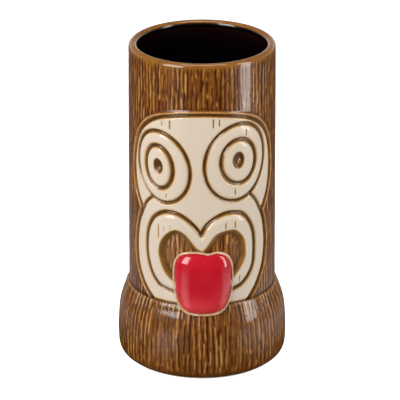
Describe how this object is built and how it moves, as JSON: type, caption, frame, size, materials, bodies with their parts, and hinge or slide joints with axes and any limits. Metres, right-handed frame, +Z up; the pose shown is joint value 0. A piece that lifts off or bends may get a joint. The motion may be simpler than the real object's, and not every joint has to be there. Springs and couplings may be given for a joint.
{
  "type": "tiki mug",
  "caption": "Tall round stoneware drinking mug with a relief tiki mask, bark-textured tube, rounded rim and flared base collar.",
  "frame": {"origin": "middle of the foot, on the table", "axes": "+Z up along the tube's axis, -Y out of the face, +X to the right as one looks at the face"},
  "size_m": [0.0896, 0.0896, 0.173],
  "materials": {
    "honey_glaze": "gloss",
    "rim_glaze": "gloss",
    "cream_glaze": "gloss",
    "dark_glaze": "gloss",
    "black_glaze": "gloss",
    "red_glaze": "gloss",
    "gold_glaze": "gloss",
    "bare_clay": "matte"
  },
  "bodies": {
    "root": {"cup_wall": "dark_glaze", "cup_floor": "bare_clay", "foot_ring": "bare_clay", "rim_band": "rim_glaze", "base_collar": "honey_glaze", "inside_glaze": "black_glaze", "bark_sleeve": "honey_glaze", "plate_border": "honey_glaze", "brow_plate": "cream_glaze", "cheek_plate": "cream_glaze", "left_eye_ring": "cream_glaze", "left_eye_disc": "cream_glaze", "left_pupil": "dark_glaze", "right_eye_ring": "cream_glaze", "right_eye_disc": "cream_glaze", "right_pupil": "dark_glaze", "lip_band": "cream_glaze", "mouth_floor": "dark_glaze", "tongue_edge": "gold_glaze", "tongue": "red_glaze"}
  },
  "joints": []
}
